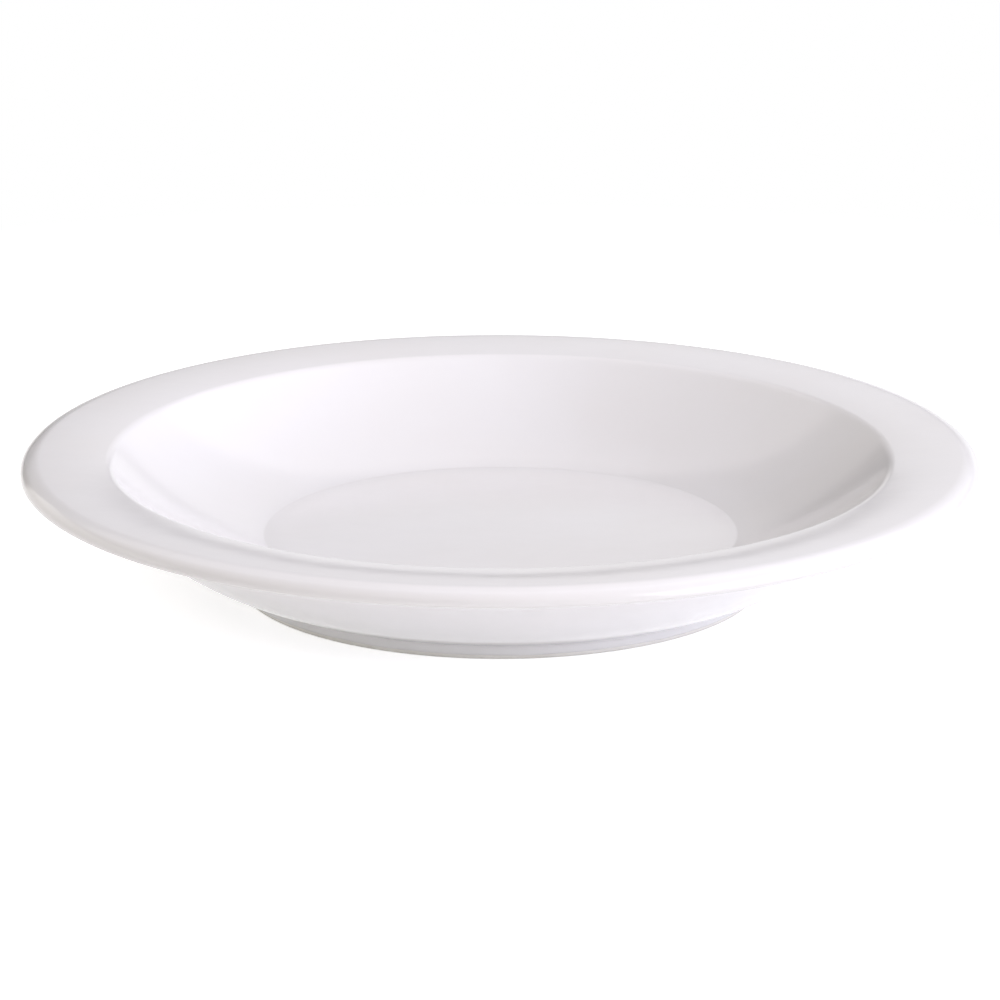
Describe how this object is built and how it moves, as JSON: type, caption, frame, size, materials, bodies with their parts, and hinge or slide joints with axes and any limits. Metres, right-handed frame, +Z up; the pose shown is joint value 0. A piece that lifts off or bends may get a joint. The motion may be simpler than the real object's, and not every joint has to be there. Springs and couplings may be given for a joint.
{
  "type": "soup bowl",
  "caption": "Round white glazed china soup bowl with a hollow-curved well, a broad low-crowned rim with a thick rounded edge, and a low foot ring that is bare where it stands.",
  "frame": {"origin": "on the bowl's axis, at the level of the flat ring it stands on", "axes": "+Z up along the axis of the bowl, out of its well; the bowl is turned about it, so X and Y are alike"},
  "size_m": [0.23, 0.23, 0.0325],
  "materials": {
    "body": "bare fired china, ground smooth at the foot",
    "face_glaze": "clear glossy glaze over white china",
    "base_glaze": "clear glossy glaze over white china"
  },
  "bodies": {
    "root": {"body": "body", "face_glaze": "face_glaze", "base_glaze": "base_glaze"}
  },
  "joints": []
}
